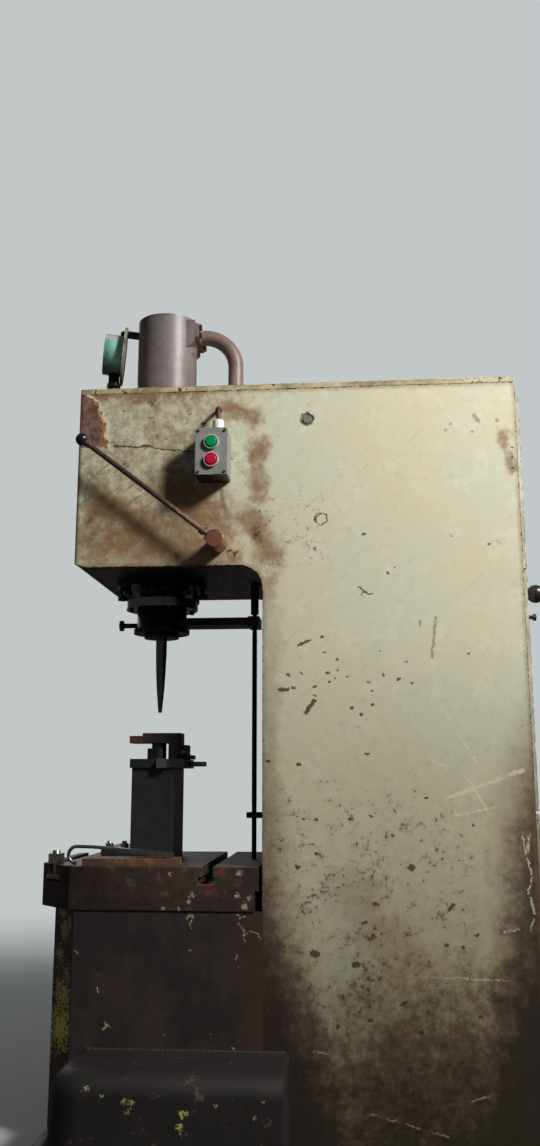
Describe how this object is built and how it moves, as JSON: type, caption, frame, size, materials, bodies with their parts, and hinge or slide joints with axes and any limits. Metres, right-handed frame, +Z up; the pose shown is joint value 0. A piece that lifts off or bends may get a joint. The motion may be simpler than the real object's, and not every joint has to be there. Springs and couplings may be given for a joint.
{
  "type": "hydraulic press",
  "caption": "C-frame hydraulic press: upright cylinder with ram, tool holder and tapered punch over a T-slotted bed, with hand lever, push-button box and pressure gauge.",
  "frame": {"origin": "on the floor, on the ram's axis", "axes": "the front of the press faces -X, the hand lever and the push buttons are on the -Y side, +Z is up"},
  "size_m": [1.044, 0.86, 1.756],
  "materials": {
    "body_paint": "old cream enamel, chipped and rusting",
    "top_paint": "old cream enamel, dusty",
    "cover_paint": "cream enamel, worn at the edges",
    "base_paint": "dark brown paint, greasy",
    "foot_paint": "dark grey paint, chipped to yellow",
    "bed_steel": "greasy dark steel, rust brown",
    "cylinder_paint": "dirty olive cream paint",
    "flange_steel": "oily black",
    "ram_steel": "oiled steel",
    "holder_steel": "oily dark steel",
    "punch_steel": "ground tool steel, oily",
    "screw_steel": "dull zinc, rust spotted",
    "bronze": "bearing bronze",
    "guide_steel": "dark greasy steel",
    "pipe_paint": "dirty cream paint",
    "gauge_brass": "brass with green patina",
    "gauge_face": "white enamelled dial",
    "gauge_glass": "clear, dusty",
    "pointer_black": "black",
    "box_grey": "cast housing, grey enamel",
    "button_green": "moulded",
    "button_red": "moulded",
    "bezel_chrome": "chromed rings",
    "gland_white": "moulded nylon",
    "cable_black": "sheathed cable",
    "lever_steel": "worn steel, rust brown",
    "ball_black": "polished",
    "inner_steel": "plain steel",
    "valve_iron": "machined",
    "motor_paint": "grey-blue enamel",
    "fixture_paint": "dark grey paint",
    "fixture_steel": "used tool steel",
    "stripper_rust": "rusty tool steel",
    "packing_rust": "rusty plate",
    "hook_steel": "bent bar, scuffed",
    "knob_black": "moulded"
  },
  "bodies": {
    "frame": {"near_side_plate": "body_paint", "far_side_plate": "body_paint", "top_plate": "top_paint", "head_front_plate": "body_paint", "head_bottom_plate": "inner_steel", "throat_plate": "body_paint", "base_front_plate": "base_paint", "base_plate": "inner_steel", "feet": "foot_paint", "bed_plate": "bed_steel", "rear_bars": "body_paint", "inner_shelves": "inner_steel", "rear_covers": "cover_paint", "tank_cover": "cover_paint", "cover_knob": "knob_black", "cover_screws": "screw_steel", "cylinder_barrel": "cylinder_paint", "cylinder_flange": "flange_steel", "flange_bolts": "screw_steel", "guide_bush": "bronze", "port_block": "cylinder_paint", "pipe_flange": "pipe_paint", "feed_pipe": "pipe_paint", "gauge_case": "gauge_brass", "gauge_dial": "gauge_face", "gauge_glass": "gauge_glass", "gauge_mounts": "guide_steel", "control_box": "box_grey", "control_box_lid": "box_grey", "button_bezels": "bezel_chrome", "cable_gland": "gland_white", "control_cable": "cable_black", "lever_bush": "bronze", "valve_block": "valve_iron", "rod_guides": "guide_steel", "motor": "motor_paint", "pump": "valve_iron", "pressure_pipe": "inner_steel", "riser_block": "fixture_paint", "die_plate": "fixture_steel", "die_bush": "fixture_steel", "stripper_arm": "stripper_rust", "fixture_screws": "screw_steel", "packing_plate": "packing_rust", "hook_tool": "hook_steel"},
    "ram": {"ram": "ram_steel", "holder_screws": "screw_steel", "punch_holder": "holder_steel", "holder_nut": "holder_steel", "punch": "punch_steel", "guide_arm": "guide_steel"},
    "lever": {"lever_hub": "lever_steel", "lever_rod": "lever_steel", "lever_ball": "ball_black"},
    "trip_rod": {"trip_rod": "guide_steel", "valve_spool": "inner_steel"},
    "start_button": {"start_button": "button_green"},
    "stop_button": {"stop_button": "button_red"},
    "gauge_pointer": {"gauge_pointer": "pointer_black"},
    "motor_rotor": {"motor_rotor": "inner_steel"}
  },
  "joints": [
    {"name": "ram_slide", "type": "slide", "parent": "frame", "child": "ram", "axis": [0, 0, -1], "range_m": [0, 0.18]},
    {"name": "lever_turn", "type": "hinge", "parent": "frame", "child": "lever", "pos_m": [0.155, -0.25, 1.163], "axis": [0, -1, 0], "range_deg": [-12, 12], "stiffness_Nm_per_rad": 12},
    {"name": "trip_rod_slide", "type": "slide", "parent": "frame", "child": "trip_rod", "axis": [0, 0, 1], "range_m": [-0.0121, 0.0121]},
    {"name": "start_push", "type": "slide", "parent": "frame", "child": "start_button", "axis": [0, 1, 0], "range_m": [0, 0.004], "stiffness_N_per_m": 500},
    {"name": "stop_push", "type": "slide", "parent": "frame", "child": "stop_button", "axis": [0, 1, 0], "range_m": [0, 0.004], "stiffness_N_per_m": 500},
    {"name": "pointer_turn", "type": "hinge", "parent": "frame", "child": "gauge_pointer", "pos_m": [-0.14009, -0.00245, 1.68505], "axis": [0.971, 0.2242, -0.0837], "range_deg": [0, 270], "stiffness_Nm_per_rad": 0.01},
    {"name": "motor_spin", "type": "hinge", "parent": "frame", "child": "motor_rotor", "pos_m": [0.55, 0, 0.132], "axis": [1, 0, 0], "continuous": true}
  ],
  "couplings": [
    {"joint": "trip_rod_slide", "follows": "lever_turn", "m_per_rad": 0.057}
  ]
}
